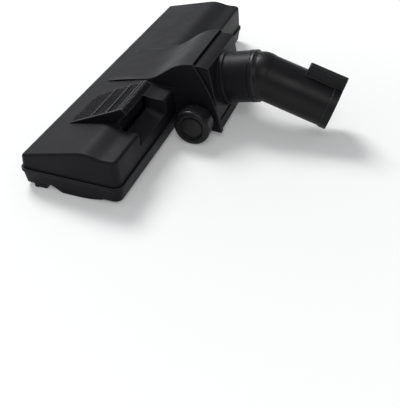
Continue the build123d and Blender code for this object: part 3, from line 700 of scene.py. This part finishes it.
def brush_row(node, material):
    """Tufts of thin filaments in place of one solid row."""
    low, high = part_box(node)
    chance = random.Random(node)
    middle_y = (low[1] + high[1]) / 2
    half_y = (high[1] - low[1]) / 2 - FILAMENT_R
    points = []
    faces = []
    for centre_x in tuft_centres(node):
        for count in range(FILAMENTS):
            reach = math.sqrt((count + 0.5) / FILAMENTS)
            out_x = reach * math.cos(count * TUFT_TURN) * TUFT_HALF_X
            out_y = reach * math.sin(count * TUFT_TURN) * half_y
            stray = chance.uniform(-1, 1) * FILAMENT_R
            short = chance.uniform(0, FILAMENT_UNEVEN)
            root_x = centre_x + out_x * (1 - FILAMENT_SPLAY)
            tip_x = centre_x + out_x * (1 + FILAMENT_SPLAY) + stray
            root = Vector((root_x, middle_y + out_y, high[2]))
            tip = Vector((tip_x, middle_y + out_y, low[2] + short))
            add_filament(points, faces, root, tip, twist=count)
    mesh = mesh_from(node, points, faces)
    piece = add_piece(node + "_tufts", mesh, material, "brush")
    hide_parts(node)


# Lint strips

def pile_lift(x, y, column, low, high):
    """Rise of the ribbed pile above a strip's lowest level, with soft borders."""
    border = min(x - low[0], high[0] - x, y - low[1], high[1] - y)
    rounded = STRIP_ROUND * max(0.0, 1 - border / STRIP_ROUND) ** 2
    rib = RIB_DEPTH * (0.5 + 0.5 * math.cos(math.tau * column / RIB_STEPS))
    return max(rounded, rib)


def pile_grid(shape, node, low, high):
    """Grid of vertices on a strip's pile, a little uneven."""
    chance = random.Random(node)
    columns = round((high[0] - low[0]) / RIB_PITCH) * RIB_STEPS
    grid = []
    for column in range(columns + 1):
        x = low[0] + (high[0] - low[0]) * column / columns
        line = []
        for row in range(STRIP_ROWS + 1):
            y = low[1] + (high[1] - low[1]) * row / STRIP_ROWS
            lift = pile_lift(x, y, column, low, high) + chance.uniform(0, PILE_UNEVEN)
            line.append(shape.verts.new((x, y, low[2] + lift)))
        grid.append(line)
    return grid


def open_rim(shape):
    """Edges that have one face only."""
    return [edge for edge in shape.edges if edge.is_boundary]


def close_top(shape, height):
    """Walls from an open sheet up to this height, and the face that closes them."""
    raised = bmesh.ops.extrude_edge_only(shape, edges=open_rim(shape))["geom"]
    for item in raised:
        if isinstance(item, bmesh.types.BMVert):
            item.co.z = height
    bmesh.ops.holes_fill(shape, edges=open_rim(shape), sides=0)


def lint_strip(node, material):
    """Ribbed pile strip with soft borders."""
    low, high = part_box(node)
    shape = bmesh.new()
    grid = pile_grid(shape, node, low, high)
    for left, right in zip(grid, grid[1:]):
        for row in range(STRIP_ROWS):
            shape.faces.new((left[row], left[row + 1], right[row + 1], right[row]))
    close_top(shape, high[2])
    mesh = settle(shape, bpy.data.meshes.new(node))
    mesh.shade_smooth()
    piece = add_piece(node + "_pile", mesh, material, "housing")
    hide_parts(node)


# Screws

def screw_profile(low_z, top_z, head_r):
    """Radius and height from the head's flat round to the tip of the thread."""
    head_top = low_z + HEAD_HEIGHT
    profile = [
        (HEAD_FLAT_R, low_z),
        (head_r - SHOULDER_IN, low_z + SHOULDER_UP),
        (head_r, low_z + HEAD_DOME),
        (head_r, head_top),
        (SHANK_R, head_top),
    ]
    for turn in range(int((top_z - head_top) / THREAD_PITCH)):
        start = head_top + turn * THREAD_PITCH
        profile.append((SHANK_R - THREAD_DEEP, start + THREAD_VALLEY))
        profile.append((SHANK_R, start + THREAD_CREST))
    profile.append((SCREW_TIP_R, top_z))
    return profile


def screw_ring(shape, centre_x, centre_y, radius, height):
    """Round of vertices about a screw's axis."""
    ring = []
    for side in range(SCREW_SIDES):
        angle = math.tau * side / SCREW_SIDES
        x = centre_x + radius * math.cos(angle)
        y = centre_y + radius * math.sin(angle)
        ring.append(shape.verts.new((x, y, height)))
    return ring


def cross_loop(shape, centre_x, centre_y, scale, height):
    """Outline of a cross as a round of vertices."""
    arm = scale * CROSS_ARM
    half = scale * CROSS_HALF
    corners = [(half, half), (half, arm), (-half, arm), (-half, half), (-arm, half), (-arm, -half)]
    outline = corners + [(-x, -y) for x, y in corners]
    return [shape.verts.new((centre_x + x, centre_y + y, height)) for x, y in outline]


def add_screw(shape, centre_x, centre_y, low_z, top_z, head_r):
    """One screw with a cross recess, head downwards, in the open bmesh."""
    rings = [
        screw_ring(shape, centre_x, centre_y, radius, height)
        for radius, height in screw_profile(low_z, top_z, head_r)
    ]
    for lower, upper in zip(rings, rings[1:]):
        for corners in ring_quads(lower, upper):
            shape.faces.new(corners)
    shape.faces.new(rings[-1])
    brim = cross_loop(shape, centre_x, centre_y, 1, low_z)
    floor = cross_loop(shape, centre_x, centre_y, CROSS_TAPER, low_z + CROSS_DEEP)
    flat = rings[0]
    edges = [shape.edges.new(pair) for pair in zip(brim, brim[1:] + brim[:1])]
    edges += [shape.edges.get(pair) for pair in zip(flat, flat[1:] + flat[:1])]
    bmesh.ops.triangle_fill(shape, edges=edges, use_beauty=True)
    for corners in ring_quads(floor, brim):
        shape.faces.new(corners)
    shape.faces.new(floor)


def screw_pair(node, material):
    """Cross-recess screws in place of a pair of plain ones."""
    low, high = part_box(node)
    head_r = (high[1] - low[1]) / 2
    middle_y = (low[1] + high[1]) / 2
    shape = bmesh.new()
    for side in (-1, 1):
        add_screw(shape, side * (high[0] - head_r), middle_y, low[2], high[2], head_r)
    mesh = settle(shape, bpy.data.meshes.new(node))
    piece = add_piece(node + "_cross", mesh, material, "housing")
    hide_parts(node)


# Stage

def seen_directly(tree):
    """1 for rays from the camera, in reflections and through clear material, else 0."""
    path = tree.nodes.new("ShaderNodeLightPath")
    total = path.outputs["Is Camera Ray"]
    for kind in ("Is Glossy Ray", "Is Transmission Ray"):
        total = combine(tree, "MAXIMUM", total, path.outputs[kind])
    return total


def floor_white():
    """Pale matt material with a glow that lights nothing else."""
    material = bpy.data.materials.new("floor_white")
    material.use_nodes = True
    tree = material.node_tree
    tree.nodes.remove(tree.nodes["Principled BSDF"])
    base = shader_node(tree, "BsdfDiffuse", Color=FLOOR_COLOUR)
    glow = shader_node(tree, "Emission", Color=WHITE)
    place = shader_node(tree, "TexCoord")
    away = tree.nodes.new("ShaderNodeVectorMath")
    away.operation = "LENGTH"
    tree.links.new(place.outputs["Object"], away.inputs[0])
    rise = map_range(tree, away.outputs["Value"], GLOW_START, GLOW_END, NEAR_GLOW, FAR_GLOW)
    level = combine(tree, "MULTIPLY", seen_directly(tree), rise)
    tree.links.new(level, glow.inputs["Strength"])
    both = tree.nodes.new("ShaderNodeAddShader")
    tree.links.new(base.outputs["BSDF"], both.inputs[0])
    tree.links.new(glow.outputs["Emission"], both.inputs[1])
    tree.links.new(both.outputs["Shader"], tree.nodes["Material Output"].inputs["Surface"])
    return material


def add_floor():
    """Pale floor that keeps the shadow and shows white to the camera."""
    mesh = bpy.data.meshes.new("floor")
    signs = ((-1, -1), (1, -1), (1, 1), (-1, 1))
    corners = [(FLOOR_HALF * x, FLOOR_HALF * y, FLOOR_Z) for x, y in signs]
    mesh.from_pydata(corners, [], [(0, 1, 2, 3)])
    mesh.materials.append(floor_white())
    floor = bpy.data.objects.new("floor", mesh)
    scene.collection.objects.link(floor)


def add_world():
    """Soft grey surroundings, white along the horizon."""
    world = bpy.data.worlds.new("studio")
    scene.world = world
    world.use_nodes = True
    tree = world.node_tree
    background = tree.nodes["Background"]
    background.inputs["Color"].default_value = SKY_COLOUR
    place = shader_node(tree, "TexCoord")
    parts = shader_node(tree, "SeparateXYZ")
    tree.links.new(place.outputs["Generated"], parts.inputs["Vector"])
    level = map_range(tree, parts.outputs["Z"], HAZE_LOW, HAZE_HIGH, HAZE_LEVEL, SKY_LEVEL)
    tree.links.new(level, background.inputs["Strength"])


def add_light(name, place, target, power):
    """Square soft light that faces a point."""
    data = bpy.data.lights.new(name, "AREA")
    data.energy = power
    data.size = LIGHT_SIZE
    light = bpy.data.objects.new(name, data)
    scene.collection.objects.link(light)
    facing = (target - place).to_track_quat("-Z", "Y")
    light.matrix_world = Matrix.Translation(place) @ facing.to_matrix().to_4x4()


add_camera()

shell = moulded_plastic(
    "shell_black",
    colour=(0.0085, 0.0085, 0.011),
    edge_highlight=(0.1, 0.1, 0.11),
    roughness=0.46,
    specular=0.26,
    grain=0.55 * MM,
    depth=0.03 * MM,
)
tube = moulded_plastic(
    "tube_black",
    colour=(0.004, 0.004, 0.005),
    edge_highlight=(0.1, 0.1, 0.11),
    roughness=0.42,
    specular=0.5,
    grain=0.55 * MM,
    depth=0.02 * MM,
)
smooth = moulded_plastic(
    "ring_black",
    colour=(0.004, 0.004, 0.005),
    edge_highlight=(0.06, 0.06, 0.066),
    roughness=0.48,
    specular=0.3,
    grain=0.9 * MM,
    depth=0.01 * MM,
)
grip = moulded_plastic(
    "pedal_black",
    colour=(0.004, 0.004, 0.005),
    edge_highlight=(0.25, 0.25, 0.26),
    roughness=0.45,
    specular=0.3,
    grain=0.5 * MM,
    depth=0.03 * MM,
    edge=0.4 * MM,
)
hatch = moulded_plastic(
    "hatch_black",
    colour=(0.004, 0.004, 0.005),
    edge_highlight=(0.01, 0.01, 0.011),
    roughness=0.6,
    specular=0.17,
    grain=0.5 * MM,
    depth=0.03 * MM,
    edge=0.1 * MM,
)
inner = moulded_plastic(
    "carriage_black",
    colour=(0.005, 0.005, 0.006),
    edge_highlight=(0.02, 0.02, 0.022),
    roughness=0.5,
    specular=0.3,
    grain=0.7 * MM,
    depth=0.02 * MM,
)
wheel = moulded_plastic(
    "wheel_black",
    colour=(0.02, 0.02, 0.021),
    edge_highlight=(0.08, 0.08, 0.085),
    roughness=0.45,
    specular=0.4,
    grain=0.6 * MM,
    depth=0.02 * MM,
)
# Near-black, dull copy of the plastic for the grooves beside the hood and the brow's steep walls:
# painted shade.
shade = moulded_plastic(
    "crease_painted_shade",
    colour=(0.002, 0.002, 0.002),
    edge_highlight=(0.01, 0.01, 0.011),
    roughness=0.8,
    specular=0.05,
    grain=0.55 * MM,
    depth=0.02 * MM,
)
# Copy of the shell plastic toned for the scoop behind the pedal: painted shade.
recess = moulded_plastic(
    "recess_painted_shade",
    colour=(0.012, 0.012, 0.015),
    edge_highlight=(0.03, 0.03, 0.033),
    roughness=0.5,
    specular=0.26,
    grain=0.55 * MM,
    depth=0.03 * MM,
)
steel = zinc_steel("zinc_steel")
pile = velour("red_velour")
bristle = nylon("nylon_black")

paint(shell, "upper_cover", "base_housing", "neck_block")
paint(tube, "elbow_tube")
paint(smooth, "swivel_ring")
paint(grip, "pedal")
paint(inner, "brush_carriage")
paint(wheel, "left_hub", "right_hub", "left_cap", "right_cap")
paint(rubber("tyre_rubber"), "left_tyre", "right_tyre")
paint(felt("grey_felt"), "hood_seal")
paint(steel, "left_axle", "right_axle", "pedal_pin", "lift_spring_left", "lift_spring_right")
paint(steel, "outer_screws", "inner_screws")
paint(pile, "lint_strip_front", "lint_strip_rear")
paint(bristle, "front_bristles", "rear_bristles")

pedal_hatch(hatch)
pedal_skirt(shell)
paint_recess_shade(shade, recess)
hood_brow(shell, shade)
end_feet(shell)
for row in ("front_bristles", "rear_bristles"):
    brush_row(row, bristle)
for strip in ("lint_strip_front", "lint_strip_rear"):
    lint_strip(strip, pile)
for pair in ("outer_screws", "inner_screws"):
    screw_pair(pair, steel)

add_floor()
add_world()
add_light("key", KEY_PLACE, KEY_TARGET, KEY_POWER)
add_light("fill", FILL_PLACE, FILL_TARGET, FILL_POWER)
scene.view_settings.view_transform = "Standard"
